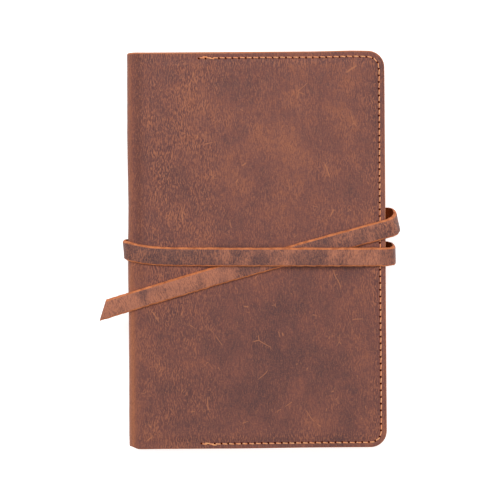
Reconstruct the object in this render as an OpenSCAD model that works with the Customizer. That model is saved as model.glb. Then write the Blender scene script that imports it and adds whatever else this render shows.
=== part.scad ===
// Leather notebook cover with a wrap strap, closed round a sewn hardback notebook.
// It lies on its back: X runs from the spine to the fore-edge, Y from tail to head, Z is up.
// The origin is under the middle of the whole piece, on the surface that it lies on.

/* [Cover] */
// Width of the closed cover, from spine to fore-edge
cover_w = 143.5; // [135:0.5:170]
// Height of the cover, from tail to head
cover_h = 222; // [200:1:260]
// Radius of the two fore-edge corners
corner_r = 9; // [8:0.5:14]
// Thickness of the outer leather
leather_t = 2; // [1.6:0.1:2.4]
// Outer radius of the folds beside the spine
fold_r = 5; // [4:0.5:6]

/* [Pockets] */
// Thickness of the leather flaps inside
flap_t = 1.2; // [0.8:0.1:1.4]
// Distance from the spine to the free edge of each flap
flap_start = 39; // [25:1:70]
// Width of the sewn margin round each flap
margin_w = 4.5; // [4.5:0.5:7]
// Distance of the seam from the cover's edge
seam_inset = 3; // [2:0.25:3.5]
// Diameter of the sewing thread
thread_d = 0.7; // [0.5:0.1:1]

/* [Notebook] */
// Thickness of each board
board_t = 1.8; // [1.4:0.1:2.4]
// Number of sewn signatures, half of them in each side of the opened book
signature_count = 8; // [4:2:12]
// Thickness of one signature
signature_t = 1.3; // [1:0.1:1.8]

/* [Strap] */
// Width of the strap
strap_w = 10.5; // [8:0.5:12]
// Thickness of the strap
strap_t = 1.8; // [1.4:0.1:2.2]
// How far the lower loop stands out from the fore-edge
lower_reach = 5.8; // [4:0.1:8]
// How far the upper loop stands out from the fore-edge
upper_reach = 8.4; // [6:0.1:12]
// How far the tip of the strap hangs over the spine
tail_overhang = 16.3; // [8:0.1:30]

/* [Hidden] */

play = 0.1;                  // gap between pieces that lie on each other
free_play = 0.3;             // gap between pieces that move apart as the book opens
paper_t = 0.2;               // pasted endpaper
lining_t = 0.4;              // lining glued over the backs of the signatures
spine_board_t = 1.4;         // the notebook's own spine
sheet_gap = 0.05;            // between one signature and the next

field_in = margin_w + flap_t;            // cover's edge to the room for the board
board_in = field_in + free_play;         // cover's edge to the board
board_x = 8;                             // spine face to the near edge of the boards
board_h = cover_h - 2 * board_in;
board_r = 5;
page_in = board_in + 3;
page_h = cover_h - 2 * board_in - 4;
page_r = 5;

// Heights, from the surface that the strap lies on
back_z = strap_t;                                // outer face of the back leather
back_in_z = back_z + leather_t;                  // its inner face
board_z = back_in_z + play;
paper_z = board_z + board_t;
flap_z = paper_z + paper_t + play;               // underside of the flap over the board
block_z = flap_z + flap_t + play;                // underside of the lowest signature
block_top_z = block_z + signature_count * signature_t + free_play;
top_z = block_top_z + block_z - back_z;          // outer face of the front leather
mid_z = (back_z + top_z) / 2;

// Distances from the outer face of the spine
spine_board_x = leather_t + 0.5;
lining_x = spine_board_x + spine_board_t + sheet_gap;
page_x = lining_x + lining_t + free_play;

// Y of the middle of the strap along its route, from its sewn end to its tip
root_y = -0.8;               // where it leaves the fore-edge seam
band_y = -3.8;               // front band
back_left_y = 1.6;           // back run at the spine
back_right_y = 18.7;         // back run at the fore-edge
diagonal_y = 11.5;           // front diagonal at the fore-edge
diagonal_slope = 0.287;      // fall of the diagonal for each unit of run
tail_cut = 4.2;              // run of the slanted cut at the tip
ramp = 12;                   // run over which the band climbs onto the diagonal
band_lift = strap_t + play;
spine_turn_x = 1;            // where the spine loop meets the flat runs
root_bend_x = cover_w + 1;   // where the sewn end turns up into the lower loop
loop_steps = 28;

diagonal_w = strap_w * sqrt(1 + pow(diagonal_slope, 2));         // widths measured along Y
back_slope = (back_right_y - back_left_y) / (cover_w - spine_turn_x);
back_w = strap_w * sqrt(1 + pow(back_slope, 2));

origin_x = (cover_w + upper_reach - tail_overhang) / 2;

tan_leather = [0.48, 0.28, 0.23];
lining_leather = [0.60, 0.40, 0.30];
strap_leather = [0.56, 0.34, 0.26];
thread_orange = [0.86, 0.50, 0.26];
cloth_black = [0.12, 0.11, 0.11];
paper_ivory = [0.93, 0.90, 0.82];

// ------------------------------------------------------------ shared shapes

module in_place() {
    translate([-origin_x, 0, 0])
        children();
}

// Front pieces are the back ones turned over about the middle height
module turned_over() {
    translate([0, 0, 2 * mid_z])
        mirror([0, 0, 1])
            children();
}

// Rectangle from x0 to x1, centred on Y, with round corners on the fore-edge side only
module leaf_outline(x0, x1, h, r) {
    translate([x0, -h / 2])
        square([x1 - x0 - r, h]);
    translate([x1 - 2 * r, -h / 2 + r])
        square([2 * r, h - 2 * r]);
    for (side = [-1, 1])
        translate([x1 - r, side * (h / 2 - r)])
            circle(r, $fn = 48);
}

module leaf(x0, x1, h, r, z0, t) {
    translate([0, 0, z0])
        linear_extrude(t)
            leaf_outline(x0, x1, h, r);
}

// A profile drawn in X and Z, made into a solid of width w about y_mid
module along_y(y_mid, w) {
    translate([0, y_mid + w / 2, 0])
        rotate([90, 0, 0])
            linear_extrude(w)
                children();
}

// ------------------------------------------------------------ leather

module panel() {
    difference() {
        leaf(fold_r, cover_w, cover_h, corner_r, back_z, leather_t);
        seam_track(back_z - 1, 1 + thread_d / 2, thread_d);
    }
}

module fold() {
    along_y(0, cover_h)
        translate([fold_r, back_z + fold_r])
            intersection() {
                difference() {
                    circle(fold_r, $fn = 64);
                    circle(fold_r - leather_t, $fn = 64);
                }
                translate([-fold_r, -fold_r])
                    square(fold_r);
            }
}

// A flap with a sewn margin that lies on the leather and a raised field that takes the board
module pocket() {
    difference() {
        union() {
            leaf(flap_start, cover_w, cover_h, corner_r, back_in_z, flap_t);
            leaf(flap_start, cover_w - margin_w, cover_h - 2 * margin_w, board_r + flap_t, back_in_z,
                 flap_z + flap_t - back_in_z);
        }
        leaf(flap_start - 1, cover_w - field_in, cover_h - 2 * field_in, board_r, back_in_z - 1,
             flap_z - back_in_z + 1);
    }
}

// Room for the sewn end of the strap
module root_notch() {
    notch_w = strap_w + 2 * play;
    translate([cover_w - margin_w - play, root_y - notch_w / 2, back_in_z - 1])
        cube([margin_w + 1, notch_w, 1 + strap_t + play]);
}

// ------------------------------------------------------------ seams

// A track round the three sewn sides, of width w
module seam_track(z0, t, w) {
    outer = seam_inset - w / 2;
    inner = seam_inset + w / 2;
    translate([0, 0, z0])
        linear_extrude(t)
            difference() {
                leaf_outline(flap_start + 1, cover_w - outer, cover_h - 2 * outer, corner_r - outer);
                leaf_outline(flap_start, cover_w - inner, cover_h - 2 * inner, corner_r - inner);
            }
}

module outside_seam() {
    seam_track(back_z, thread_d / 2, thread_d);
}

module inside_seam() {
    seam_track(back_in_z + flap_t, thread_d / 2, thread_d);
}

// ------------------------------------------------------------ notebook

module board() {
    leaf(board_x, cover_w - board_in, board_h, board_r, board_z, board_t);
}

module endpaper() {
    leaf(board_x + 1, cover_w - board_in - 1, board_h - 2, board_r - 1, paper_z, paper_t);
}

// ------------------------------------------------------------ strap

// A point of a rounded C between the heights z0 (s = 0) and z1 (s = 1). It leaves both level
function c_point(s, x0, reach, z0, z1) =
    let (a = 180 * s - 90, power = 0.72)
    [x0 + reach * pow(cos(a), power), (z0 + z1) / 2 + (z1 - z0) / 2 * sign(a) * pow(abs(sin(a)), power)];

function c_direction(i, x0, reach, z0, z1) =
    let (s = i / loop_steps, d = 0.01,
         run = c_point(s + d, x0, reach, z0, z1) - c_point(s - d, x0, reach, z0, z1))
    (i == 0) ? [1, 0] : (i == loop_steps) ? [-1, 0] : run / norm(run);

// The strap round one edge of the cover, bulging to +X, or to -X where side is -1.
// z, y and w are pairs: height and Y of the strap's middle, and its width, at the two ends
module strap_loop(x0, reach, z, y, w, side) {
    corners = [[-1, -1], [1, -1], [1, 1], [-1, 1]];
    points = [
        for (i = [0:loop_steps], c = corners)
            let (s = i / loop_steps,
                 p = c_point(s, x0, reach, z[0], z[1]),
                 t = c_direction(i, x0, reach, z[0], z[1]),
                 share = (1 - cos(180 * s)) / 2,
                 o = p + [t[1], -t[0]] * c[0] * strap_t / 2,
                 y_mid = y[0] + (y[1] - y[0]) * share,
                 half_w = (w[0] + (w[1] - w[0]) * share) / 2)
            [side > 0 ? o[0] : 2 * x0 - o[0], y_mid + c[1] * half_w, o[1]]
    ];
    last = 4 * loop_steps;
    walls = [
        for (i = [0:loop_steps - 1], k = [0:3])
            let (a = 4 * i + k, b = 4 * i + (k + 1) % 4)
            each [[a, b, b + 4], [a, b + 4, a + 4]]
    ];
    ends = [[0, 2, 1], [0, 3, 2], [last, last + 1, last + 2], [last, last + 2, last + 3]];
    faces = concat(walls, ends);
    polyhedron(points, side > 0 ? [for (f = faces) [f[2], f[1], f[0]]] : faces);
}

front_strap_z = top_z + strap_t / 2;     // middle of the strap on the front
back_strap_z = strap_t / 2;              // and on the back
root_z = back_in_z + strap_t / 2;        // and in the seam

// X of the ends of the stretch where the diagonal passes under the band
cross_right_x = cover_w - (diagonal_y - band_y - (diagonal_w + strap_w) / 2) / diagonal_slope;
cross_left_x = cover_w - (diagonal_y - band_y + (diagonal_w + strap_w) / 2) / diagonal_slope;

// ------------------------------------------------------------ sub-parts

module leather_back() { color(tan_leather) in_place() panel(); }
module leather_front() { color(tan_leather) in_place() turned_over() panel(); }
module leather_fold_back() { color(tan_leather) in_place() fold(); }
module leather_fold_front() { color(tan_leather) in_place() turned_over() fold(); }
module leather_spine() {
    color(tan_leather)
        in_place()
            translate([0, -cover_h / 2, back_z + fold_r])
                cube([leather_t, cover_h, top_z - back_z - 2 * fold_r]);
}

module pocket_front() { color(lining_leather) in_place() turned_over() pocket(); }
module pocket_back() {
    color(lining_leather)
        in_place()
            difference() {
                pocket();
                root_notch();
            }
}

module seam_back_outside() { color(thread_orange) in_place() outside_seam(); }
module seam_front_outside() { color(thread_orange) in_place() turned_over() outside_seam(); }
module seam_front_inside() { color(thread_orange) in_place() turned_over() inside_seam(); }
module seam_back_inside() {
    color(thread_orange)
        in_place()
            difference() {
                inside_seam();
                root_notch();
            }
}

module board_back() { color(cloth_black) in_place() board(); }
module board_front() { color(cloth_black) in_place() turned_over() board(); }
module endpaper_back() { color(paper_ivory) in_place() endpaper(); }
module endpaper_front() { color(paper_ivory) in_place() turned_over() endpaper(); }
module notebook_spine() {
    color(cloth_black)
        in_place()
            translate([spine_board_x, -board_h / 2, paper_z])
                cube([spine_board_t, board_h, 2 * (mid_z - paper_z)]);
}
module spine_lining() {
    color(paper_ivory)
        in_place()
            translate([lining_x, -page_h / 2 + 2, block_z])
                cube([lining_t, page_h - 4, block_top_z - block_z]);
}

// Signature 1 lies under the front cover. The book opens between the two middle ones
module signature(n) {
    below_middle = n > signature_count / 2 ? free_play : 0;
    color(paper_ivory)
        in_place()
            leaf(page_x, cover_w - page_in, page_h, page_r,
                 block_top_z - n * signature_t - below_middle, signature_t - sheet_gap);
}

module strap_root() {
    color(strap_leather)
        in_place()
            translate([cover_w - margin_w, root_y - strap_w / 2, back_in_z])
                cube([root_bend_x - cover_w + margin_w, strap_w, strap_t]);
}
module strap_lower_loop() {
    color(strap_leather)
        in_place() {
            strap_loop(root_bend_x, cover_w + lower_reach - strap_t / 2 - root_bend_x,
                       [root_z, front_strap_z], [root_y, band_y], [strap_w, strap_w], 1);
            translate([cover_w, band_y - strap_w / 2, top_z])
                cube([root_bend_x - cover_w, strap_w, strap_t]);
        }
}
module strap_front_band() {
    low = [[spine_turn_x, 0], [cross_left_x - ramp, 0], [cross_left_x, band_lift],
           [cross_right_x, band_lift], [cross_right_x + ramp, 0], [cover_w, 0]];
    high = [for (i = [len(low) - 1:-1:0]) low[i] + [0, strap_t]];
    color(strap_leather)
        in_place()
            translate([0, 0, top_z])
                along_y(band_y, strap_w)
                    polygon(concat(low, high));
}
module strap_spine_loop() {
    stand_off = 0.4;
    color(strap_leather)
        in_place()
            strap_loop(spine_turn_x, spine_turn_x + stand_off + strap_t / 2,
                       [back_strap_z, front_strap_z], [back_left_y, band_y], [back_w, strap_w], -1);
}
module strap_back_run() {
    color(strap_leather)
        in_place()
            linear_extrude(strap_t)
                polygon([
                    [spine_turn_x, back_left_y - back_w / 2], [cover_w, back_right_y - back_w / 2],
                    [cover_w, back_right_y + back_w / 2], [spine_turn_x, back_left_y + back_w / 2]
                ]);
}
module strap_upper_loop() {
    color(strap_leather)
        in_place()
            strap_loop(cover_w, upper_reach - strap_t / 2, [back_strap_z, front_strap_z],
                       [back_right_y, diagonal_y], [back_w, diagonal_w], 1);
}
module strap_tail() {
    tip_x = -tail_overhang;
    tip_y = diagonal_y - diagonal_slope * (cover_w - tip_x);
    color(strap_leather)
        in_place()
            translate([0, 0, top_z])
                linear_extrude(strap_t)
                    polygon([
                        [cover_w, diagonal_y - diagonal_w / 2],
                        [cover_w, diagonal_y + diagonal_w / 2],
                        [tip_x + tail_cut, tip_y + diagonal_slope * tail_cut + diagonal_w / 2],
                        [tip_x, tip_y - diagonal_w / 2]
                    ]);
}

leather_back();
leather_spine();
leather_front();
leather_fold_back();
leather_fold_front();
pocket_back();
pocket_front();
seam_back_outside();
seam_back_inside();
seam_front_outside();
seam_front_inside();
board_back();
board_front();
notebook_spine();
spine_lining();
endpaper_back();
endpaper_front();
for (n = [1:signature_count])
    signature(n);
strap_root();
strap_lower_loop();
strap_front_band();
strap_spine_loop();
strap_back_run();
strap_upper_loop();
strap_tail();
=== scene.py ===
"""Leather notebook cover with a wrap strap: leather, stitches, strap, boards and paper round the CAD frame.

Lengths are in millimetres until a mesh is made. u runs along the leather's outer face from the middle of
the spine to the fore-edge, v runs from tail to head, and depth goes from the outer face into the book.
"""
import math
import random

import bmesh
import bpy
import numpy as np
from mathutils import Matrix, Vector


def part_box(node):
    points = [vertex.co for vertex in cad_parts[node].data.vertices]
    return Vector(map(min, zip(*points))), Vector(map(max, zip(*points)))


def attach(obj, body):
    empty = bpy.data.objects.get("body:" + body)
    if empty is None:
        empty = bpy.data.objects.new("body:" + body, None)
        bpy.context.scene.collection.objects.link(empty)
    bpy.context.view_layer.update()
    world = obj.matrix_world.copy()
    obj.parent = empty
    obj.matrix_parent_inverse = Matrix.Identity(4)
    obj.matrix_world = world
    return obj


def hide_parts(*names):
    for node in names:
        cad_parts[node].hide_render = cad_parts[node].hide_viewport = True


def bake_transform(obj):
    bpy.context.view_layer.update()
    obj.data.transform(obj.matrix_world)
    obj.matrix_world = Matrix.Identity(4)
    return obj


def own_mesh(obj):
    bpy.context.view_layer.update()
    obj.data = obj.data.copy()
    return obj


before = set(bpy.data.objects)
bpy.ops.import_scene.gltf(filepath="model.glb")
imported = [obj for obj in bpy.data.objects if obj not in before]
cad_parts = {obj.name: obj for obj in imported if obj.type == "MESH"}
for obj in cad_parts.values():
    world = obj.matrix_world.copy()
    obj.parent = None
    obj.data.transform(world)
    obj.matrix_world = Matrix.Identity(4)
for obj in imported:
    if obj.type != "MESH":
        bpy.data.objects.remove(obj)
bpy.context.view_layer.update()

MM = 0.001

# ------------------------------------------------------------------ sizes from the frame


def box_mm(node):
    low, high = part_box(node)
    return np.array(low) / MM, np.array(high) / MM


panel_low, panel_high = box_mm("leather_back")
board_low, board_high = box_mm("board_back")
pocket_low, pocket_high = box_mm("pocket_back")
band_low, band_high = box_mm("strap_front_band")
run_low, run_high = box_mm("strap_back_run")
root_low, root_high = box_mm("strap_root")
case_low, case_high = box_mm("notebook_spine")
paper_top = box_mm("endpaper_back")[1][2]
upper_reach = box_mm("strap_upper_loop")[1][0]
lower_reach = box_mm("strap_lower_loop")[1][0]

X_SPINE = box_mm("leather_spine")[0][0]
X_FORE = panel_high[0]
HALF_H = panel_high[1]
Z_BACK = panel_low[2]
Z_FRONT = box_mm("leather_front")[1][2]
Z_MID = (Z_BACK + Z_FRONT) / 2
LEATHER = panel_high[2] - panel_low[2]
FOLD_R = panel_low[0] - X_SPINE
FLAP_X = pocket_low[0] - X_SPINE
PLAY = 0.1
FLAP = pocket_high[2] - paper_top - PLAY
COVER_W = X_FORE - X_SPINE
STRAP_W = band_high[1] - band_low[1]
STRAP_T = run_high[2] - run_low[2]
ROOT_Y = (root_low[1] + root_high[1]) / 2

# ------------------------------------------------------------------ sizes that only the looks need

CORNER_R = 9.0
EDGE_R = 0.55            # rounding of the grain side at the cut edge
SEAM_IN = 3.0            # seam to the cut edge
CHANNEL = 0.16           # the seam presses the leather in this far
CHANNEL_W = 0.75
STITCH_PITCH = 3.75
SEAM_DROP = 0.3          # the whole seam lies this much nearer the tail
THREAD_R = 0.37
THREAD_RISE = 0.34       # the middle of a stitch stands this far above its ends
THREAD_SINK = 0.2        # its ends lie this far below the leather
HOLE_R = 0.6
HOLE_RISE = 0.17         # the rim of a hole is level with the leather beside the channel
HOLE_ASIDE = 0.32        # the holes show this far inside the thread
MARGIN_SINK = 0.35       # the sewn margin lies lower than the leather over the board
MARGIN_BAND = (3.8, 7.4)
SKIN_GAP = 0.03          # between the leather and the flap
SPINE_SWELL = 0.45
GRID_STEP = 3.2          # spacing of the leather mesh
TRIM = 0.5               # the fore-edge was trimmed this far outside the CAD edge
BOARD_EDGE = X_FORE - board_high[0] + TRIM
BOARD_CORNER = 5.0
PAGE_CORNER = 5.0
RULE_GAP = 7.0
RULE_HALF = 85.0
LEAVES_EACH = 6
LEAF_SHARE = 0.8         # of the room for each leaf, the rest is air
GUTTER = 12.5            # the leaves' mesh is finer within this distance of the spine's face

# u at the ends of the flat stretch of the spine and of the fold
U_FOLD = Z_FRONT - FOLD_R - Z_MID
U_PANEL = U_FOLD + FOLD_R * math.pi / 2
U_END = U_PANEL + COVER_W - FOLD_R + TRIM
U_TO_X = FOLD_R - U_PANEL        # added to u, it gives the distance from the spine's face

SIDES = {"front": 1, "back": -1}


def smooth(a, b, x):
    """0 up to a, 1 from b on, and a soft step between them."""
    t = np.clip((x - a) / (b - a), 0, 1)
    return t * t * (3 - 2 * t)


def ripple(x, y, seed, size):
    """A gentle, repeatable unevenness between about -1 and 1, with bumps about size across."""
    rng = random.Random(seed)
    total = 0
    for _ in range(5):
        turn = rng.uniform(0, math.tau)
        wave = rng.uniform(0.7, 1.5) / size * math.tau
        total = total + np.sin((x * math.cos(turn) + y * math.sin(turn)) * wave + rng.uniform(0, math.tau))
    return total / 3


# ------------------------------------------------------------------ meshes


def make_object(name, points, faces, materials, uv=None, layers=None, slots=None, sharp=35):
    """A smooth-shaded mesh object from points in millimetres. layers holds one number per point."""
    mesh = bpy.data.meshes.new(name)
    mesh.from_pydata((np.asarray(points) * MM).tolist(), [], faces)
    for material in materials:
        mesh.materials.append(material)
    if slots is not None:
        mesh.polygons.foreach_set("material_index", slots)
    if uv is not None:
        corner = np.zeros(len(mesh.loops), np.int32)
        mesh.loops.foreach_get("vertex_index", corner)
        layer = mesh.uv_layers.new(name="UVMap")
        layer.data.foreach_set("uv", (np.asarray(uv)[corner] * MM).astype(np.float32).ravel())
    for key, values in (layers or {}).items():
        attribute = mesh.attributes.new(key, "FLOAT", "POINT")
        attribute.data.foreach_set("value", np.asarray(values, np.float32))
    work = bmesh.new()
    work.from_mesh(mesh)
    bmesh.ops.recalc_face_normals(work, faces=work.faces)
    work.to_mesh(mesh)
    work.free()
    mesh.polygons.foreach_set("use_smooth", [True] * len(mesh.polygons))
    mesh.set_sharp_from_angle(angle=math.radians(sharp))
    mesh.validate()
    piece = bpy.data.objects.new(name, mesh)
    bpy.context.scene.collection.objects.link(piece)
    return piece


class RimGrid:
    """A flat sheet in u and v: straight at u_start, with a rim of parallel rings round its other three sides
    and its two round corners, so that a shape may depend on the distance from the cut edge."""

    def __init__(self, u_lines, u_end, half_h, radius, depths, v_step=4.0, arc_steps=10):
        count = int(round(2 * (half_h - radius) / v_step))
        v_lines = np.linspace(radius - half_h, half_h - radius, count + 1)
        u_lines = list(u_lines)
        last_u = u_end - radius
        self.points, self.edge_distance, rings = [], [], []
        arcs = [math.pi / 2 * k / arc_steps for k in range(1, arc_steps)]
        for depth in depths:
            r = radius - depth
            ring = [(u, depth - half_h) for u in u_lines]
            ring += [(last_u + r * math.sin(a), radius - half_h - r * math.cos(a)) for a in arcs]
            ring += [(u_end - depth, v) for v in v_lines]
            ring += [(last_u + r * math.cos(a), half_h - radius + r * math.sin(a)) for a in arcs]
            ring += [(u, half_h - depth) for u in reversed(u_lines)]
            rings.append(range(len(self.points), len(self.points) + len(ring)))
            self.points += ring
            self.edge_distance += [depth] * len(ring)
        n, m = len(u_lines), len(v_lines)
        start = len(self.points)
        self.points += [(u, v) for u in u_lines for v in v_lines]
        self.edge_distance += [min(u_end - u, half_h - abs(v)) for u in u_lines for v in v_lines]

        def at(i, k):
            return start + i * m + k

        inner = [at(i, 0) for i in range(n)] + [at(n - 1, 0)] * len(arcs)
        inner += [at(n - 1, k) for k in range(m)] + [at(n - 1, m - 1)] * len(arcs)
        inner += [at(i, m - 1) for i in reversed(range(n))]
        rings.append(inner)
        self.faces = []
        for a, b in zip(rings, rings[1:]):
            for k in range(len(a) - 1):
                corners = [a[k], a[k + 1], b[k + 1], b[k]]
                self.faces.append(corners if b[k] != b[k + 1] else corners[:3])
        for i in range(n - 1):
            for k in range(m - 1):
                self.faces.append([at(i, k), at(i + 1, k), at(i + 1, k + 1), at(i, k + 1)])
        self.outline = list(rings[0])
        self.start_edge = [ring[-1] for ring in rings[:-1]] + [at(0, k) for k in reversed(range(m))]
        self.start_edge += [ring[0] for ring in reversed(rings[:-1])]
        self.points = np.array(self.points)
        self.edge_distance = np.array(self.edge_distance)


def shell(grid, outer, inner, bulge, place):
    """A sheet of leather between two depths on a RimGrid, with a cut edge that swells by bulge.

    Returns its points, its faces, a material slot for each face, and the grid point behind each point.
    """
    u, v = grid.points.T
    count = len(u)
    points = [place(u, v, outer), place(u, v, inner)]
    faces = [list(f) for f in grid.faces] + [[i + count for i in reversed(f)] for f in grid.faces]
    skin_faces = len(grid.faces)
    rim = np.array(grid.outline)
    rows = [rim]
    offset = 2 * count
    rim_u, rim_v = u[rim], v[rim]
    at_end = np.abs(rim_v) > np.abs(rim_v).max() - CORNER_R
    out_u = np.where(at_end, 0, np.sign(rim_u - u.mean()))
    out_v = np.where(at_end, np.sign(rim_v), 0)
    for share in (0.25, 0.5, 0.75):
        swell = bulge * math.sin(math.pi * share)
        depth = outer[rim] + (inner[rim] - outer[rim]) * share
        points.append(place(rim_u + out_u * swell, rim_v + out_v * swell, depth))
        rows.append(np.arange(offset, offset + len(rim)))
        offset += len(rim)
    rows.append(rim + count)
    for a, b in zip(rows, rows[1:]):
        faces += [[int(a[k + 1]), int(a[k]), int(b[k]), int(b[k + 1])] for k in range(len(rim) - 1)]
    edge = grid.start_edge
    first = [row[0] for row in rows]
    last = [row[-1] for row in rows]
    faces.append([int(i) for i in edge] + [int(i) for i in first[1:-1]]
                 + [int(i) + count for i in reversed(edge)] + [int(i) for i in reversed(last[1:-1])])
    points = np.concatenate(points)
    slots = [0] * skin_faces + [1] * skin_faces + [2] * (len(faces) - 2 * skin_faces)
    source = np.concatenate([np.arange(count), np.arange(count), np.tile(rim, 3)])
    return points, faces, slots, source


def place_on(side):
    """Returns the function that puts u, v and depth on the front or the back of the book."""

    def place(u, v, depth):
        turn = np.clip((u - U_FOLD) / FOLD_R, 0, math.pi / 2)
        along_x = np.maximum(u - U_PANEL, 0)
        up = np.minimum(u, U_FOLD)
        normal_x, normal_z = -np.cos(turn), np.sin(turn)
        x = X_SPINE + FOLD_R + (FOLD_R - depth) * normal_x + along_x
        z = Z_MID + up + (FOLD_R - depth) * normal_z
        return np.stack([x, v + np.zeros_like(x), z if side > 0 else 2 * Z_MID - z], -1)

    return place


# ------------------------------------------------------------------ materials


def srgb(r, g, b):
    """A colour given as 0 to 255 display values, as linear light with alpha."""
    return [((c / 255 + 0.055) / 1.055) ** 2.4 if c > 10 else c / 255 / 12.92 for c in (r, g, b)] + [1.0]


class Graph:
    """A short way to write shader nodes. Lengths inside a graph are millimetres."""

    def __init__(self, name):
        self.material = bpy.data.materials.new(name)
        self.material.use_nodes = True
        self.tree = self.material.node_tree
        self.shader = self.tree.nodes["Principled BSDF"]

    def node(self, kind, inputs=(), **settings):
        made = self.tree.nodes.new("ShaderNode" + kind)
        for key, value in settings.items():
            setattr(made, key, value)
        for key, value in dict(inputs).items():
            self.set(made.inputs[key], value)
        return made

    def set(self, socket, value):
        if isinstance(value, bpy.types.NodeSocket):
            self.tree.links.new(value, socket)
        else:
            socket.default_value = value

    def finish(self, color, roughness, specular=0.5, bump=None, **constants):
        self.set(self.shader.inputs["Base Color"], color)
        self.set(self.shader.inputs["Roughness"], roughness)
        self.shader.inputs["Specular IOR Level"].default_value = specular
        for key, value in constants.items():
            self.shader.inputs[key.replace("_", " ")].default_value = value
        if bump is not None:
            self.set(self.shader.inputs["Normal"], bump)
        return self.material

    def place(self, source="UV", stretch=(1, 1, 1), shift=(0, 0, 0)):
        """Coordinates in millimetres, from the piece's own UV map or from its body's frame."""
        start = self.node("TexCoord").outputs[source]
        scale = tuple(s / MM for s in stretch)
        return self.node("Mapping", {"Vector": start, "Scale": scale, "Location": shift}).outputs[0]

    def noise(self, where, size, detail=3.0, rough=0.5, warp=0.0):
        made = self.node("TexNoise", {"Vector": where, "Scale": 1 / size, "Detail": detail,
                                      "Roughness": rough, "Distortion": warp})
        return made.outputs["Fac"]

    def step(self, value, low, high, to_low=0.0, to_high=1.0):
        made = self.node("MapRange", {"Value": value, "From Min": low, "From Max": high,
                                      "To Min": to_low, "To Max": to_high}, interpolation_type="SMOOTHSTEP")
        return made.outputs[0]

    def math(self, kind, *values):
        made = self.node("Math", operation=kind)
        for socket, value in zip(made.inputs, values):
            self.set(socket, value)
        return made.outputs[0]

    def mix(self, share, a, b, blend="MIX"):
        made = self.node("Mix", data_type="RGBA", blend_type=blend)
        for socket, value in zip([made.inputs[0], made.inputs[6], made.inputs[7]], (share, a, b)):
            self.set(socket, value)
        return made.outputs[2]

    def ramp(self, value, *stops):
        made = self.node("ValToRGB", {"Fac": value})
        elements = made.color_ramp.elements
        while len(elements) < len(stops):
            elements.new(0.5)
        for element, (position, color) in zip(elements, stops):
            element.position, element.color = position, color
        return made.outputs[0]

    def layer(self, name):
        return self.node("Attribute", attribute_name=name).outputs["Fac"]

    def bump(self, height, strength, distance, below=None):
        made = self.node("Bump", {"Height": height, "Strength": strength, "Distance": distance * MM})
        if below is not None:
            self.set(made.inputs["Normal"], below)
        return made.outputs[0]


RAW_TAN = srgb(196, 122, 82)
RAW_BROWN = srgb(150, 84, 52)
# painted highlight and painted shade for the round of the spine's fold
FOLD_HIGHLIGHT = srgb(172, 106, 76)
FOLD_SHADE = srgb(98, 52, 42)
# the wrinkles' own streaky colour, partly painted highlight on the ridges and painted shade in the furrows
RIDGE_TINT_AND_HIGHLIGHT = srgb(190, 120, 86)
FURROW_TINT_AND_SHADE = srgb(82, 50, 52)
SCRATCH = srgb(196, 126, 88)


def swayed(g, where, size, amount):
    """Coordinates bent aside by soft noise, so that marks wander."""
    bend = g.node("TexNoise", {"Vector": where, "Scale": 1 / size, "Detail": 1.0}).outputs["Color"]
    return g.node("VectorMath", {0: bend, 1: (amount,) * 3, 2: where}, operation="MULTIPLY_ADD").outputs[0]


def strokes(g, seed, width, length, sway):
    """Upright strokes, light above one half and dark below it."""
    bent = swayed(g, g.place(shift=(seed, seed * 0.7, 0)), 7.0, sway)
    drawn = g.node("VectorMath", {0: bent, 1: (1, width / length, 1)}, operation="MULTIPLY").outputs[0]
    return g.noise(drawn, width, 1.5, 0.5)


def wrinkles(g, seed, gap, sway):
    """Wavering upright lines about gap apart."""
    where = g.place(stretch=(1, 0.55, 1), shift=(seed, seed * 0.3, 0))
    bent = swayed(g, swayed(g, where, gap * 4, sway * 2), gap * 1.3, sway)
    lines = g.node("TexWave", {"Vector": bent, "Scale": math.pi / 10 / gap}, bands_direction="X")
    return lines.outputs["Fac"]


def scratches(g, seed, cell, width, keep):
    """Thin curved hairlines, each a stretch of the border between two large cells."""
    where = g.place(shift=(seed, seed * 1.3, 0))
    bent = swayed(g, where, cell * 1.2, cell * 0.9)
    cells = g.node("TexVoronoi", {"Vector": bent, "Scale": 1 / cell}, feature="DISTANCE_TO_EDGE")
    line = g.step(cells.outputs["Distance"], 0.4 * width / cell, width / cell, 1.0, 0.0)
    gate = g.step(g.noise(where, cell * 0.5, 2.0, 0.6), keep, keep + 0.04)
    return g.math("MULTIPLY", line, gate)


def flecks(g, seed, size, keep):
    """Small ragged spots where the noise is highest."""
    where = g.place(shift=(seed, seed * 0.4, 0))
    return g.step(g.noise(where, size, 3.0, 0.55, 0.6), keep, keep + 0.06)


def crackle(g, seed, cell):
    """A net of fine lines, like dried oil that has been bent."""
    where = swayed(g, g.place(stretch=(1.2, 1, 1), shift=(seed, seed * 0.6, 0)), 1.2, 0.9)
    net = g.node("TexVoronoi", {"Vector": where, "Scale": 1 / cell}, feature="DISTANCE_TO_EDGE")
    return g.step(net.outputs["Distance"], 0.02, 0.2, 1.0, 0.0)


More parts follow.
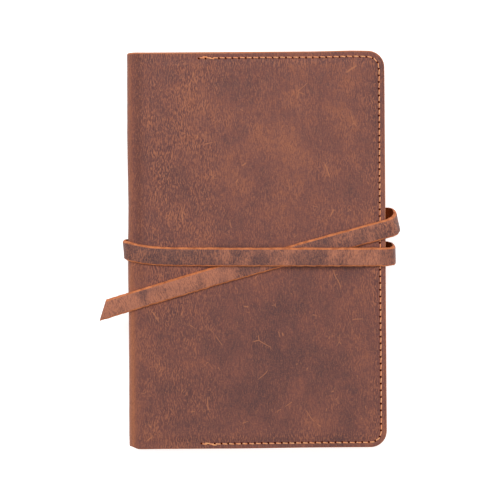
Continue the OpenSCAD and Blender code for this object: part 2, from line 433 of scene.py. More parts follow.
def oiled_leather(name, seed, dark, middle, light, grain=1.0, netted=0.0):
    """Waxed pull-up leather: cloudy patches, pores, upright wrinkles, hairline scratches, and painted
    highlight and shade at the spine's fold.

    It reads four layers of the mesh. tone makes it lighter or darker, crease brings out the wrinkles, the
    fold layer is above 0 for a painted highlight on the round of the spine's fold and below 0 for a painted
    shade line beside it, and raw bares the cut edge.
    """
    g = Graph(name)
    flat = g.place(shift=(seed, -seed, 0))
    uneven = g.step(g.noise(flat, 13, 2.0, 0.5), 0.35, 0.65, 0.55 * grain, 1.15 * grain)
    crease = g.math("MULTIPLY", g.layer("crease"), uneven)
    cloud = g.noise(flat, 26, 4.0, 0.6, 0.4)
    patch = g.noise(flat, 5, 5.0, 0.7, 0.5)
    long = strokes(g, seed + 20, 1.5, 22, 6)
    value = g.math("MULTIPLY_ADD", cloud, 0.5, g.math("MULTIPLY_ADD", patch, 0.3, g.layer("tone")))
    value = g.math("MULTIPLY_ADD", long, 0.2, value)
    color = g.ramp(value, (0.34, dark), (0.5, middle), (0.66, light))
    # painted highlight on the round of the spine's fold, and a painted shade line beside it
    fold_light = g.layer("fold_light")
    color = g.mix(g.math("MAXIMUM", fold_light, 0.0), color, FOLD_HIGHLIGHT)
    color = g.mix(g.math("MAXIMUM", g.math("MULTIPLY", fold_light, -1.0), 0.0), color, FOLD_SHADE)
    pores = g.noise(flat, 0.8, 2.0, 0.6)
    color = g.mix(g.step(pores, 0.5, 0.72, 0.0, 0.5), color, light)
    color = g.mix(g.step(pores, 0.5, 0.28, 0.0, 0.5), color, dark)
    fine = strokes(g, seed, 0.46, 2.0, 1.7)
    lines = wrinkles(g, seed, 1.3, 2.6)
    ridge = g.math("MULTIPLY_ADD", lines, 0.18, g.math("MULTIPLY", fine, 0.82))
    # the wrinkles' own streaky colour, with painted highlight on the ridges and painted shade in the furrows
    color = g.mix(g.math("MULTIPLY", g.step(ridge, 0.5, 0.64), crease), color, RIDGE_TINT_AND_HIGHLIGHT)
    color = g.mix(g.math("MULTIPLY", g.step(ridge, 0.5, 0.36), crease), color, FURROW_TINT_AND_SHADE)
    if netted:
        net = g.math("MULTIPLY", crackle(g, seed, 1.9), g.step(patch, 0.4, 0.6, 0.2, 1.0))
        color = g.mix(g.math("MULTIPLY", net, netted), color, light)
        stained = g.step(g.math("ADD", cloud, g.layer("tone")), 0.55, 0.4)
        color = g.mix(g.math("MULTIPLY", stained, netted * 0.7), color, dark)
    hair = g.math("MAXIMUM", scratches(g, seed, 27, 0.3, 0.6), scratches(g, seed + 9, 16, 0.24, 0.63))
    hair = g.math("MAXIMUM", hair, flecks(g, seed, 1.9, 0.72))
    color = g.mix(g.math("MULTIPLY", hair, 0.55), color, SCRATCH)
    bare = g.math("SUBTRACT", g.layer("raw"), 0.45)
    frayed = g.math("MULTIPLY_ADD", g.noise(flat, 1.6, 3.0, 0.6), 0.9, bare)
    color = g.mix(g.step(frayed, 0.32, 0.62), color, RAW_TAN)
    height = g.math("MULTIPLY_ADD", pores, 0.35, g.math("MULTIPLY", patch, 0.6))
    folds = g.math("MULTIPLY", g.math("SUBTRACT", ridge, 0.5), g.math("MULTIPLY", crease, 1.5))
    bump = g.bump(g.math("ADD", height, folds), 0.6, 0.28)
    return g.finish(color, g.step(patch, 0.3, 0.7, 0.5, 0.66), 0.24, bump)


def flesh_side(name, seed, dark, light):
    """The rough inner side of leather."""
    g = Graph(name)
    where = g.place(shift=(seed, 0, 0))
    nap = g.noise(where, 1.1, 5.0, 0.7, 0.5)
    color = g.ramp(g.noise(where, 9, 4.0, 0.6), (0.3, dark), (0.7, light))
    color = g.mix(g.step(nap, 0.4, 0.7, 0.0, 0.4), color, light)
    return g.finish(color, 0.95, 0.06, g.bump(nap, 0.6, 0.3))


def cut_edge(name, seed, light, dark):
    """A raw cut edge: bright tan fibres in thin layers."""
    g = Graph(name)
    where = g.place(shift=(seed, seed, 0))
    fibre = g.noise(where, 0.7, 4.0, 0.65, 0.4)
    color = g.ramp(g.noise(where, 5, 3.0, 0.6), (0.35, dark), (0.62, light))
    color = g.mix(g.step(fibre, 0.4, 0.72, 0.0, 0.5), color, light)
    color = g.mix(g.step(fibre, 0.42, 0.2, 0.0, 0.6), color, dark)
    return g.finish(color, 0.8, 0.25, g.bump(fibre, 0.5, 0.25))


def waxed_thread():
    g = Graph("waxed_thread")
    where = g.place()
    twist = g.node("TexWave", {"Vector": g.place(stretch=(1, 0.55, 1)), "Scale": 0.5, "Distortion": 0.6},
                   wave_type="BANDS", bands_direction="DIAGONAL").outputs["Fac"]
    color = g.ramp(g.noise(where, 2.5, 3.0, 0.6), (0.3, srgb(248, 142, 84)), (0.7, srgb(255, 190, 134)))
    # darker bands between the twisted strands are painted shade in the grooves
    color = g.mix(g.step(twist, 0.35, 0.1, 0.0, 0.3), color, srgb(196, 100, 52))
    return g.finish(color, 0.55, 0.4, g.bump(twist, 0.5, 0.2), Sheen_Weight=0.2)


def needle_hole_shade():
    # dark discs of painted shade that stand for the shadow down each needle hole
    g = Graph("needle_hole_shade")
    shade = g.noise(g.place("Object"), 0.6, 2.0)
    return g.finish(g.ramp(shade, (0.3, srgb(58, 14, 4)), (0.7, srgb(88, 26, 8))), 0.9, 0.1)


def book_cloth(name):
    g = Graph(name)
    where = g.place("Object")
    bands = [g.node("TexWave", {"Vector": where, "Scale": 0.55, "Distortion": 0.8, "Detail": 1.0},
                    wave_type="BANDS", bands_direction=way).outputs["Fac"] for way in ("X", "Y")]
    weave = g.math("MULTIPLY", bands[0], bands[1])
    tint = g.mix(g.noise(where, 14, 3.0, 0.6), srgb(30, 28, 30), srgb(46, 44, 45))
    color = g.mix(g.math("MULTIPLY", weave, 0.35), tint, srgb(74, 71, 72))
    return g.finish(color, 0.78, 0.3, g.bump(weave, 0.45, 0.15))


def page_paper(name, source, ruled=False):
    g = Graph(name)
    where = g.place(source)
    fibre = g.noise(where, 0.8, 4.0, 0.65)
    color = g.mix(g.noise(where, 22, 3.0, 0.6), srgb(238, 231, 212), srgb(228, 219, 198))
    color = g.mix(g.step(fibre, 0.5, 0.75, 0.0, 0.25), color, srgb(214, 204, 180))
    if ruled:
        split = g.node("SeparateXYZ", {0: where})
        line = g.math("PINGPONG", split.outputs[1], RULE_GAP / 2)
        ink = g.math("MULTIPLY", g.step(line, 0.14, 0.26, 1.0, 0.0),
                     g.math("LESS_THAN", g.math("ABSOLUTE", split.outputs[1]), RULE_HALF))
        color = g.mix(g.math("MULTIPLY", ink, 0.6), color, srgb(176, 180, 188))
    return g.finish(color, 0.86, 0.25, g.bump(fibre, 0.25, 0.08))


leather = oiled_leather("cover_leather", 0, srgb(98, 64, 62), srgb(127, 78, 69), srgb(158, 97, 74))
pocket_leather = oiled_leather("pocket_leather", 310, srgb(104, 70, 60), srgb(128, 84, 66),
                               srgb(152, 102, 78))
strap_leather = oiled_leather("strap_leather", 620, srgb(92, 63, 62), srgb(119, 78, 70),
                              srgb(182, 117, 92), grain=1.1, netted=0.35)
leather_flesh = flesh_side("leather_flesh", 0, srgb(104, 66, 48), srgb(140, 92, 66))
leather_cut = cut_edge("leather_cut", 0, RAW_TAN, RAW_BROWN)
strap_cut = cut_edge("strap_cut", 70, srgb(220, 134, 86), srgb(166, 92, 56))
strap_flesh = flesh_side("strap_flesh", 50, srgb(112, 48, 20), srgb(150, 74, 38))
thread = waxed_thread()
hole_shade = needle_hole_shade()
cloth = book_cloth("book_cloth")
leaf_paper = page_paper("leaf_paper", "UV", ruled=True)
plain_paper = page_paper("plain_paper", "Object")

# ------------------------------------------------------------------ the cover


def margin_sink(d):
    """How far the sewn margin lies below the leather over the board, at distance d from the cut edge."""
    return MARGIN_SINK * (1 - smooth(*MARGIN_BAND, d))


def outer_depth(u, v, d):
    """Depth of the leather's grain side: soft edge, sunk margin, seam channel, slight unevenness."""
    near = np.clip(EDGE_R - d, 0, EDGE_R)
    depth = EDGE_R - np.sqrt(EDGE_R ** 2 - near ** 2)
    on_panel = smooth(U_PANEL, U_PANEL + 10, u)
    depth = depth + margin_sink(d) * on_panel
    channel = np.exp(-((d - SEAM_IN) / CHANNEL_W) ** 2) * smooth(-2, 2, u + U_TO_X - FLAP_X)
    depth = depth + CHANNEL * channel
    wave = 0.16 * ripple(u, v, 4, 60) + 0.04 * ripple(u, v, 5, 14)
    depth = depth - SPINE_SWELL * (1 - smooth(U_FOLD - 2, U_PANEL, u))
    return depth - wave * smooth(0, 5, u) * smooth(0, 9, d)


def wander(x, v):
    """The head and tail edges aren't cut quite straight."""
    head = 0.35 * np.exp(-((x - 0.87 * COVER_W) / 13) ** 2) - 0.15
    tail = 0.3 * (1 - smooth(0.4 * COVER_W, 0.75 * COVER_W, x)) - 0.15 - 1.3 * (1 - smooth(0, 6, x))
    return np.where(v > 0, head, -tail) * (np.abs(v) / HALF_H) ** 6


def place_cover(side):
    place = place_on(side)
    return lambda u, v, depth: place(u, v + wander(u + U_TO_X, v), depth)


def panel_lines(first, last, step):
    return list(np.linspace(first, last, int(round((last - first) / step)) + 1))


def cover_marks(side, x, v, d):
    """The four layers that the leather's material reads. x is the distance from the spine's face."""
    head = smooth(HALF_H - 10, HALF_H - 1, v)
    raw = np.clip(1.25 - d / (0.4 + 0.7 * head * (1 - 0.5 * smooth(0.45, 0.6, x / COVER_W))), 0, 1)
    crease = 0.28 + (0.14 + 0.14 * smooth(-40, 10, v)) * smooth(5, 14, x) * (1 - smooth(34, 60, x))
    crease = crease + 0.3 * np.exp(-((d - 6.2) / 1.8) ** 2) * smooth(FLAP_X, FLAP_X + 20, x)
    dark_patch = np.exp(-((x - 78) / 42) ** 2 - ((v + 62) / 48) ** 2)
    crease = crease - 0.12 * dark_patch
    # the dip near d = 4.6 is a painted shade line where the sunk margin starts to rise to the board
    tone = -0.13 * dark_patch - 0.05 * np.exp(-((d - 4.6) / 1.6) ** 2)
    # a faint pale crease across the lower part of the front, and a warmer patch above the strap
    if side > 0:
        along = 0.58 * (x - 95) + 0.81 * (v + 78)
        across = 0.81 * (x - 95) - 0.58 * (v + 78)
        tone = tone + 0.07 * np.exp(-(across / 2.5) ** 2 - (along / 19) ** 2)
        tone = tone + 0.05 * np.exp(-((x - 92) / 28) ** 2 - ((v - 62) / 30) ** 2)
    # painted highlight on the round of the spine's fold, stronger on the lower half, and a painted shade line
    # beside it, darker towards the head
    low_half = 1 - smooth(-40, 10, v)
    fold_light = (0.42 + 0.5 * low_half) * (1 - smooth(1.5, 4.5, x)) + 0.25 * low_half * (1 - smooth(4, 9, x))
    fold_light = fold_light * (0.15 + 0.85 * smooth(-3.5, -0.5, x))
    fold_light = fold_light - (0.6 - 0.5 * low_half) * np.exp(-((x - 6.2) / 2.6) ** 2)
    return {"raw": raw, "crease": crease, "tone": tone, "fold_light": fold_light}


def cover_skin(side_name, blend_ends, nodes):
    """Half of the outer leather, from the middle of the spine to the fore-edge."""
    side = SIDES[side_name]
    lines = panel_lines(0, U_FOLD, 2)[:-1] + panel_lines(U_FOLD, U_PANEL, 0.7)[:-1]
    lines += panel_lines(U_PANEL, U_PANEL + 12, 1.5)[:-1]
    lines += panel_lines(U_PANEL + 12, U_END - CORNER_R, GRID_STEP)
    rings = [0, 0.12, 0.3, 0.6, 1.1, 1.8, 2.4, 3, 3.6, 4.4, 5.4, 6.6, 7.8]
    grid = RimGrid(lines, U_END, HALF_H, CORNER_R, rings, GRID_STEP)
    u, v = grid.points.T
    d = grid.edge_distance
    inner = LEATHER + margin_sink(d) * smooth(U_PANEL, U_PANEL + 10, u)
    points, faces, slots, source = shell(grid, outer_depth(u, v, d), inner, 0.12, place_cover(side))
    x = u + U_TO_X
    flat = np.stack([x if side > 0 else 2 * U_TO_X - x, v], 1)
    layers = {key: mark[source] for key, mark in cover_marks(side, x, v, d).items()}
    piece = make_object(f"cover_leather_{side_name}", points, faces, [leather, leather_flesh, leather_cut],
                        flat[source], layers, slots)
    [tuple(c * MM for c in end) for end in blend_ends]
    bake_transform(piece)
    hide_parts(*nodes)


def strap_root_rise(side, v):
    """The strap's sewn end lifts the back flap by its own thickness."""
    if side > 0:
        return np.zeros_like(v)
    half = STRAP_W / 2
    return STRAP_T * (1 - smooth(half + 0.3, half + 4, np.abs(v - ROOT_Y)))


def pocket(side_name, node):
    side = SIDES[side_name]
    lines = panel_lines(FLAP_X - U_TO_X, U_END - CORNER_R, 4)
    rings = [0, 0.15, 0.4, 0.9, 1.6, 2.3, 3, 3.7, 4.3, 4.6, 4.9, 5.2, 5.5, 5.8, 6.4]
    grid = RimGrid(lines, U_END, HALF_H, CORNER_R, rings, GRID_STEP)
    u, v = grid.points.T
    d = grid.edge_distance
    over_board = paper_top - Z_BACK + PLAY
    top = LEATHER + margin_sink(d) + SKIN_GAP
    top = top + strap_root_rise(side, v) * (1 - smooth(6, 9, d))
    top = top + (over_board - top) * smooth(4.3, BOARD_EDGE - 0.1, d)
    top = top + 0.08 * (1 + ripple(u, v, 8, 40)) * smooth(5, 12, d)
    points, faces, slots, source = shell(grid, top, top + FLAP, 0.08, place_cover(side))
    x = u + U_TO_X
    raw = np.clip(1.2 - d / 0.4, 0, 1)
    layers = {"raw": raw[source], "crease": np.full(len(source), 0.3), "tone": 0.05 * np.sign(x)[source]}
    slots = [1 - s if s < 2 else s for s in slots]
    skins = [pocket_leather, leather_flesh, leather_cut]
    flat = np.stack([x, v], 1)
    piece = make_object(f"pocket_leather_{side_name}", points, faces, skins, flat[source], layers, slots)
    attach(piece, f"{side_name}_cover")
    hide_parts(node)


# ------------------------------------------------------------------ the seams


def seam_route():
    """Needle holes, evenly spaced from the head end of the flap round the fore-edge to its tail end."""
    r = CORNER_R - SEAM_IN
    start = FLAP_X - U_TO_X + 1.2
    flat = U_END - CORNER_R - start
    tall = 2 * (HALF_H - CORNER_R)
    quarter = r * math.pi / 2
    total = 2 * flat + tall + 2 * quarter
    count = int(round(total / STITCH_PITCH))
    holes = []
    for k in range(count + 1):
        s = total * k / count
        if s < flat:
            holes.append((start + s, HALF_H - SEAM_IN))
        elif s < flat + quarter:
            a = (s - flat) / r
            holes.append((U_END - CORNER_R + r * math.sin(a), HALF_H - CORNER_R + r * math.cos(a)))
        elif s < flat + quarter + tall:
            holes.append((U_END - SEAM_IN, HALF_H - CORNER_R - (s - flat - quarter)))
        elif s < flat + 2 * quarter + tall:
            a = (s - flat - quarter - tall) / r
            holes.append((U_END - CORNER_R + r * math.cos(a), CORNER_R - HALF_H - r * math.sin(a)))
        else:
            holes.append((start + total - s, SEAM_IN - HALF_H))
    return holes


def seam(side_name, face, node):
    side = SIDES[side_name]
    place = place_cover(side)
    out = 1 if face == "outside" else -1
    rng = random.Random(f"{side_name} {face}")

    def surface(u, v):
        if face == "outside":
            return float(outer_depth(np.array([u]), np.array([v]), np.array([SEAM_IN]))[0])
        return LEATHER + margin_sink(SEAM_IN) + SKIN_GAP + FLAP + float(strap_root_rise(side, np.float64(v)))

    holes = [(u, v - SEAM_DROP) for u, v in seam_route()]
    pairs = list(zip(holes, holes[1:]))
    tacks = [((a[0] + 1.6, a[1] + shift), (b[0] + 1.6, b[1] + shift)) for (a, b), shift in
             [(pairs[0], 0.5), (pairs[1], -0.42), (pairs[-1], 0.42), (pairs[-2], -0.5)]]
    points, faces, uv, slots = [], [], [], []
    around, along = 8, 9
    for a, b in pairs + tacks:
        a, b = np.array(a), np.array(b)
        run = b - a
        length = np.linalg.norm(run)
        across = np.array([-run[1], run[0]]) / length
        slant = 0.24 + rng.uniform(-0.08, 0.08)
        first = len(points)
        for i in range(along + 1):
            s = i / along
            spot = a + run * (0.08 + 0.84 * s) + across * slant * (0.5 - s)
            arch = math.sin(math.pi * s)
            depth = surface(*spot) - out * (THREAD_RISE * arch ** 0.6 - THREAD_SINK)
            thick = THREAD_R * (0.5 + 0.5 * arch ** 0.5)
            for k in range(around):
                turn = math.tau * k / around
                twisted = thick * (1 + 0.1 * math.cos(2 * turn - 7 * s))
                w = spot + across * twisted * math.cos(turn)
                points.append(place(w[0], w[1], depth - out * twisted * math.sin(turn)).reshape(3))
                uv.append((length * s + first, thick * turn))
        for i in range(along):
            for k in range(around):
                p, q = first + i * around + k, first + i * around + (k + 1) % around
                faces.append([p, q, q + around, p + around])
                slots.append(0)
        faces.append([first + k for k in range(around)])
        faces.append([first + along * around + k for k in reversed(range(around))])
        slots += [0, 0]
    # a dark disc of painted shade at each needle hole, just inside the thread
    for k, (u, v) in enumerate(holes):
        before, after = holes[max(k - 1, 0)], holes[min(k + 1, len(holes) - 1)]
        run = math.dist(before, after)
        u += HOLE_ASIDE * (after[1] - before[1]) / run
        v -= HOLE_ASIDE * (after[0] - before[0]) / run
        first = len(points)
        for radius, sink in ((HOLE_R, 0.0), (HOLE_R * 0.7, 0.05)):
            for step in range(around):
                turn = math.tau * step / around
                level = surface(u, v) - out * (HOLE_RISE - sink)
                rim_u, rim_v = u + radius * math.cos(turn), v + radius * math.sin(turn)
                points.append(place(rim_u, rim_v, level).reshape(3))
                uv.append((u, v))
        points.append(place(u, v, surface(u, v) - out * (HOLE_RISE - 0.08)).reshape(3))
        uv.append((u, v))
        for step in range(around):
            p, q = first + step, first + (step + 1) % around
            faces.append([p, q, q + around, p + around])
            faces.append([p + around, q + around, first + 2 * around])
            slots += [1, 1]
    piece = make_object(f"stitches_{side_name}_{face}", np.array(points), faces, [thread, hole_shade],
                        np.array(uv), slots=slots, sharp=70)
    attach(piece, f"{side_name}_cover")
    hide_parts(node)


# ------------------------------------------------------------------ the notebook


def plate(name, low, high, corner, bevel, material, slot_name, body, node):
    """A board with round fore-edge corners and softened edges."""

    def outline(inset):
        r = corner - inset
        x0, x1 = low[0] + inset, high[0] - inset
        half = high[1] - inset
        turns = [math.pi / 2 * k / 8 for k in range(9)]
        loop = [(x0, -half)] + [(x1 - r + r * math.sin(a), -half + r - r * math.cos(a)) for a in turns]
        return loop + [(x1 - r + r * math.cos(a), half - r + r * math.sin(a)) for a in turns] + [(x0, half)]

    levels = [(bevel, low[2]), (bevel * 0.3, low[2] + bevel * 0.3), (0, low[2] + bevel),
              (0, high[2] - bevel), (bevel * 0.3, high[2] - bevel * 0.3), (bevel, high[2])]
    points, faces = [], []
    for inset, z in levels:
        points += [(x, y, z) for x, y in outline(inset)]
    count = len(points) // len(levels)
    for i in range(len(levels) - 1):
        for k in range(count):
            a, b = i * count + k, i * count + (k + 1) % count
            faces.append([a, b, b + count, a + count])
    faces += [list(range(count)), list(range(len(points) - count, len(points)))]
    points = np.array(points)
    piece = make_object(name, points, faces, [material], points[:, :2], sharp=50)
    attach(piece, body)
    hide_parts(node)


def notebook_case(side_name, blend_ends, nodes):
    """The cloth case: the spine strip, and the groove that lets each board swing."""
    side = SIDES[side_name]
    board_x = board_low[0] + 0.6
    z_board = Z_FRONT - (board_low[2] - Z_BACK)
    x_out, x_in = case_low[0], case_high[0]
    z_end = case_high[2]
    outer = [(x_out, Z_MID), (x_out, z_end - 3), (x_out, z_end - 1), (x_out + 0.3, z_end + 0.3),
             (x_out + 1.3, z_end + 0.6), (x_in + 0.6, z_end - 0.2), (x_in + 2.2, z_end - 0.9),
             (board_x - 0.9, z_board - 0.4), (board_x, z_board - 0.1)]
    inner = [(x_in, Z_MID), (x_in, z_end - 3), (x_in, z_end - 1.4), (x_in, z_end - 1.0),
             (x_in + 0.1, z_end - 0.9), (x_in + 0.7, z_end - 1.1), (x_in + 2.2, z_end - 1.7),
             (board_x - 0.8, z_board - 1.4), (board_x, z_board - 1.5)]
    half = board_high[1]
    points, faces = [], []
    for x_z in zip(outer, inner):
        for x, z in x_z:
            z = z if side > 0 else 2 * Z_MID - z
            points += [(x, -half, z), (x, half, z)]
    for i in range(len(outer) - 1):
        a = 4 * i
        faces += [[a, a + 1, a + 5, a + 4], [a + 2, a + 6, a + 7, a + 3],
                  [a, a + 4, a + 6, a + 2], [a + 1, a + 3, a + 7, a + 5]]
    last = len(points) - 4
    faces += [[0, 2, 3, 1], [last, last + 1, last + 3, last + 2]]
    points = np.array(points)
    piece = make_object(f"notebook_case_{side_name}", points, faces, [cloth], points[:, :2], sharp=50)
    [tuple(c * MM for c in end) for end in blend_ends]
    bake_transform(piece)
    if nodes:
        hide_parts(*nodes)


def signature(n, count):
    """One sewn section: separate leaves, each a thin sheet with round fore-edge corners."""
    low, high = box_mm(f"signature_{n}")
    rng = random.Random(n)
    pitch = (high[2] - low[2]) / LEAVES_EACH
    r = PAGE_CORNER
    x_lines = list(np.linspace(low[0], X_SPINE + GUTTER, 15))
    x_lines += list(np.linspace(X_SPINE + GUTTER, high[0] - r, 6)[1:])
    corner = [math.pi / 2 * k / 7 for k in range(1, 8)]
    points, faces, uv, slots = [], [], [], []
    for leaf in range(LEAVES_EACH):
        z0 = low[2] + pitch * leaf + 0.01
        z1 = z0 + pitch * LEAF_SHARE
        out = rng.uniform(-0.35, 0)
        up = rng.uniform(-0.2, 0.2)
        columns = [(x, high[1]) for x in x_lines]
        columns += [(high[0] - r + r * math.sin(a) + out, high[1] - r + r * math.cos(a)) for a in corner]
        first = len(points)
        for x, half in columns:
            points += [(x, up - half, z0), (x, up + half, z0), (x, up + half, z1), (x, up - half, z1)]
            uv += [(x, -half), (x, half), (x, half), (x, -half)]
        for i in range(len(columns) - 1):
            for k in range(4):
                a, b = first + 4 * i + k, first + 4 * i + (k + 1) % 4
                faces.append([a, b, b + 4, a + 4])
                slots.append(k % 2)
        last = len(points) - 4
        faces += [[first, first + 1, first + 2, first + 3], [last, last + 3, last + 2, last + 1]]
        slots += [1, 1]
    piece = make_object(f"signature_{n}_leaves", np.array(points), faces, [leaf_paper, plain_paper],
                        np.array(uv), slots=slots, sharp=40)
    near, far = (low[0] * MM, 0, low[2] * MM), ((X_SPINE + GUTTER) * MM, 0, low[2] * MM)
    if n <= count // 2:
        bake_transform(piece)
        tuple(near)
        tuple(far)
    else:
        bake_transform(piece)
        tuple(far)
        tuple(near)
    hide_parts(f"signature_{n}")


# ------------------------------------------------------------------ the strap

# Middle line of the strap from its sewn end to its tip: distance from the spine's face, Y and Z
TOP = Z_FRONT + STRAP_T / 2
LIFT = band_high[2] - STRAP_T / 2
LOW = STRAP_T / 2
ROOT_Z = (root_low[2] + root_high[2]) / 2
FORE = COVER_W
OUT_LOWER = lower_reach - X_SPINE - STRAP_T / 2
OUT_UPPER = upper_reach - X_SPINE - STRAP_T / 2
STRAP_ROUTE = [
    (FORE - 4.5, -0.8, ROOT_Z), (FORE, -0.8, ROOT_Z), (FORE + 3.4, -0.9, ROOT_Z + 1.2),
    (OUT_LOWER + 0.3, -1.4, 10), (OUT_LOWER + 1.0, -2.4, 14.5), (OUT_LOWER + 0.9, -3.5, 19),
    (FORE + 4.4, -4.2, TOP - 1), (FORE, -4.4, TOP + 0.2), (FORE - 6, -4.4, TOP + 0.4),
    (126, -4.35, LIFT - 0.1), (116, -4.3, LIFT), (58, -3.9, LIFT), (50, -3.8, LIFT - 0.4),
    (38, -3.65, TOP), (24, -3.5, TOP), (12, -2.8, TOP), (6, -1.8, TOP), (0.8, -0.5, TOP - 0.5),
    (-2.1, 0.4, TOP - 4), (-2.5, 1.1, 15), (-2.0, 1.4, 9), (-1.1, 1.5, 4),
    (1.2, 1.5, LOW + 0.4), (6, 1.9, LOW), (74, 10.1, LOW), (136, 17.7, LOW),
    (FORE + 2.5, 18.6, LOW + 0.3), (OUT_UPPER - 2.2, 18.7, 4), (OUT_UPPER + 0.1, 17.4, 10),
    (OUT_UPPER + 0.3, 14.9, 16.5), (OUT_UPPER - 1.6, 12.8, TOP - 2.6), (FORE + 2.5, 11.6, TOP),
    (FORE - 6, 9.4, TOP), (100, -0.5, TOP), (50, -14.1, TOP), (4, -27.6, TOP), (-14.3, -33.2, TOP - 0.3),
]
TIP_SLANT = 3.6


def strap_line(step=0.7, rounds=18):
    """The route as evenly spaced points, rounded by averaging neighbours, and its length so far."""
    route = np.array(STRAP_ROUTE, float)
    run = np.concatenate([[0], np.cumsum(np.linalg.norm(np.diff(route, axis=0), axis=1))])
    at = np.linspace(0, run[-1], int(run[-1] / step) + 1)
    line = np.stack([np.interp(at, run, route[:, k]) for k in range(3)], 1)
    for _ in range(rounds):
        line[1:-1] = (line[:-2] + 2 * line[1:-1] + line[2:]) / 4
    run = np.concatenate([[0], np.cumsum(np.linalg.norm(np.diff(line, axis=0), axis=1))])
    return line, run


def strap():
    line, run = strap_line()
    total = run[-1]
    tangent = np.gradient(line, axis=0)
    tangent /= np.linalg.norm(tangent, axis=1)[:, None]
    level = tangent[:, :2] / np.maximum(np.linalg.norm(tangent[:, :2], axis=1), 1e-9)[:, None]
    flat = np.abs(tangent[:, 2]) < 0.35
    aside = np.stack([-level[:, 1], level[:, 0]], 1)
    aside *= np.sign(aside[:, 1])[:, None]
    known = np.flatnonzero(flat)
    every = np.arange(len(line))
    wide = np.stack([np.interp(every, known, aside[known, 0]), np.interp(every, known, aside[known, 1]),
                     np.zeros(len(line))], 1)
    for _ in range(20):
        wide[1:-1] = (wide[:-2] + wide[1:-1] + wide[2:]) / 3
    # at the spine the strap leans, its head side standing further out
    spine_at = run[np.argmin(np.where(run < total / 2, line[:, 0], 0))]
    wide[:, 0] -= 0.25 * np.exp(-((run - spine_at) / 11) ** 2)
    wide -= np.sum(wide * tangent, 1)[:, None] * tangent
    wide /= np.linalg.norm(wide, axis=1)[:, None]
    # outward from the book: away from the middle of the loop that the strap makes
    out = np.cross(tangent, wide)
    middle = np.array([COVER_W / 2, 0, Z_MID])
    out *= np.sign(np.sum(out * (line - middle) * [0.02, 0, 1], 1))[:, None]
    half, t = STRAP_W / 2, STRAP_T / 2
    section = [(-half + 0.1, -t), (half - 0.1, -t), (half, -t * 0.7), (half, -t * 0.25),
               (half - 0.55, t * 0.5), (half - 1.15, t * 0.9), (half - 1.7, t), (0, t * 1.04),
               (-half + 1.2, t), (-half + 0.7, t * 0.88), (-half + 0.15, t * 0.3), (-half, -t * 0.4)]
    # slot of the face that starts at each point of the section: 0 grain side, 1 flesh side, 2 cut edge
    kinds = [1, 2, 2, 2, 2, 0, 0, 0, 0, 2, 2, 2]
    count = len(section)
    fray = [0.12 * ripple(run, 0 * run, seed, 6) + 0.08 * ripple(run, 0 * run, seed + 5, 2.2)
            for seed in (31, 32)]
    points, uv = [], []
    for w, n in section:
        ragged = fray[0] if w > half - 1 else -fray[1] if w < 1 - half else 0 * run
        along = -w / half * TIP_SLANT * smooth(total - 14, total, run)
        spot = line + wide * (w + ragged)[:, None] + out * n + tangent * along[:, None]
        points.append(spot + np.array([X_SPINE, 0, 0]))
        uv.append(np.stack([run + along, np.full(len(run), w)], 1))
    points = np.stack(points, 1).reshape(-1, 3)
    uv = np.stack(uv, 1).reshape(-1, 2)
    faces, slots = [], []
    for i in range(len(line) - 1):
        for k in range(count):
            a, b = i * count + k, i * count + (k + 1) % count
            faces.append([a, b, b + count, a + count])
            slots.append(kinds[k])
    last = (len(line) - 1) * count
    faces += [list(range(count)), list(range(last, last + count))]
    slots += [2, 2]
    share = np.interp(run, [0, 40, 120, 150, 190, 215, 380, 420, 470, 500, total],
                      [0.14, 0.06, -0.02, -0.12, -0.16, -0.06, 0, -0.06, 0.1, 0.18, 0.2])
    bend = np.clip(np.linalg.norm(np.gradient(tangent, axis=0), axis=1) * 5, 0, 0.15) + 0.42
    rows = np.repeat(np.arange(len(line)), count)
    stain = 0.09 * ripple(uv[:, 0], uv[:, 1], 77, 17)
    layers = {"tone": share[rows] + stain, "crease": bend[rows], "raw": np.zeros(len(rows))}
    skins = [strap_leather, strap_flesh, strap_cut]
    piece = make_object("strap", points, faces, skins, uv, layers, slots, sharp=48)
    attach(piece, "back_cover")
    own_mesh(piece)
    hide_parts("strap_root", "strap_lower_loop", "strap_front_band", "strap_spine_loop",
                "strap_back_run", "strap_upper_loop", "strap_tail")


# ------------------------------------------------------------------ building it

corner_x = X_SPINE + FOLD_R
BACK_BEND = [(corner_x, 0, Z_BACK), (X_SPINE, 0, Z_BACK + FOLD_R)]
FRONT_BEND = [(X_SPINE, 0, Z_FRONT - FOLD_R), (corner_x, 0, Z_FRONT)]

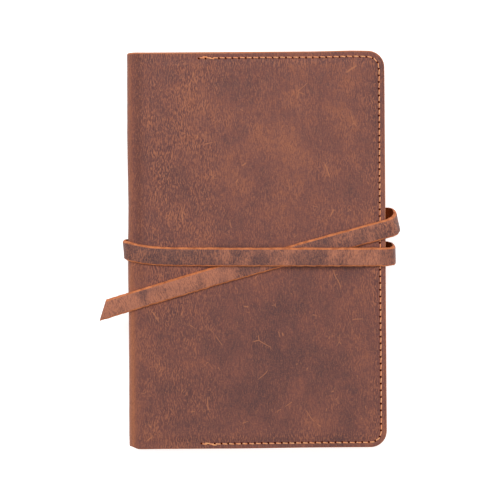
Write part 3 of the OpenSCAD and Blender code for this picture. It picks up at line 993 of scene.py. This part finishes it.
cover_skin("back", BACK_BEND, ["leather_back", "leather_fold_back", "leather_spine"])
cover_skin("front", FRONT_BEND, ["leather_front", "leather_fold_front"])
for name in SIDES:
    pocket(name, f"pocket_{name}")
    seam(name, "outside", f"seam_{name}_outside")
    seam(name, "inside", f"seam_{name}_inside")
    plate(f"notebook_board_{name}", *box_mm(f"board_{name}"), BOARD_CORNER, 0.35, cloth, "board_cloth",
          f"{name}_cover", f"board_{name}")
notebook_case("back", BACK_BEND, ["notebook_spine"])
notebook_case("front", FRONT_BEND, [])
signature_names = [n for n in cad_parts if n.startswith("signature_")]
for number in range(1, len(signature_names) + 1):
    signature(number, len(signature_names))
for node in ("endpaper_back", "endpaper_front", "spine_lining"):
    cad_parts[node].data.materials.clear()
    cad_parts[node].data.materials.append(plain_paper)
strap()

# ------------------------------------------------------------------ floor, light and camera


def floor():
    mesh = bpy.data.meshes.new("floor")
    size, z = 3.0, -0.0003
    corners = [(-size, -size, z), (size, -size, z), (size, size, z), (-size, size, z)]
    mesh.from_pydata(corners, [], [(0, 1, 2, 3)])
    g = Graph("white_floor")
    pale = g.mix(g.noise(g.place("Object"), 300, 2.0), (0.9, 0.9, 0.9, 1), (0.88, 0.88, 0.88, 1))
    mesh.materials.append(g.finish(pale, 0.9, 0.1, Emission_Color=(1, 1, 1, 1), Emission_Strength=0.6))
    plane = bpy.data.objects.new("floor", mesh)
    bpy.context.scene.collection.objects.link(plane)


def soft_light(name, place, size, power):
    data = bpy.data.lights.new(name, "AREA")
    data.shape = "DISK"
    data.size = size
    data.energy = power
    lamp = bpy.data.objects.new(name, data)
    lamp.location = place
    aim = -np.array(place)
    tilt = math.acos(-aim[2] / np.linalg.norm(aim))
    lamp.rotation_euler = (tilt, 0, math.atan2(aim[0], -aim[1]) + math.pi)
    bpy.context.scene.collection.objects.link(lamp)


def camera():
    data = bpy.data.cameras.new("camera")
    data.lens = 100
    data.sensor_width = 36
    eye = bpy.data.objects.new("camera", data)
    span = 0.2795            # metres across the frame at the height of the front
    eye.location = (0.00032, -0.00006, Z_FRONT * MM + span * data.lens / data.sensor_width)
    eye.rotation_euler = (0, 0, math.radians(-0.38))
    bpy.context.scene.collection.objects.link(eye)
    bpy.context.scene.camera = eye


floor()
soft_light("key", (-0.15, 0.75, 1.15), 0.9, 10)
soft_light("fill", (0.5, -0.5, 1.3), 1.4, 4)
world = bpy.data.worlds.new("world")
world.use_nodes = True
world.node_tree.nodes["Background"].inputs["Color"].default_value = (1, 1, 1, 1)
world.node_tree.nodes["Background"].inputs["Strength"].default_value = 0.42
bpy.context.scene.world = world
bpy.context.scene.view_settings.view_transform = "Standard"
camera()
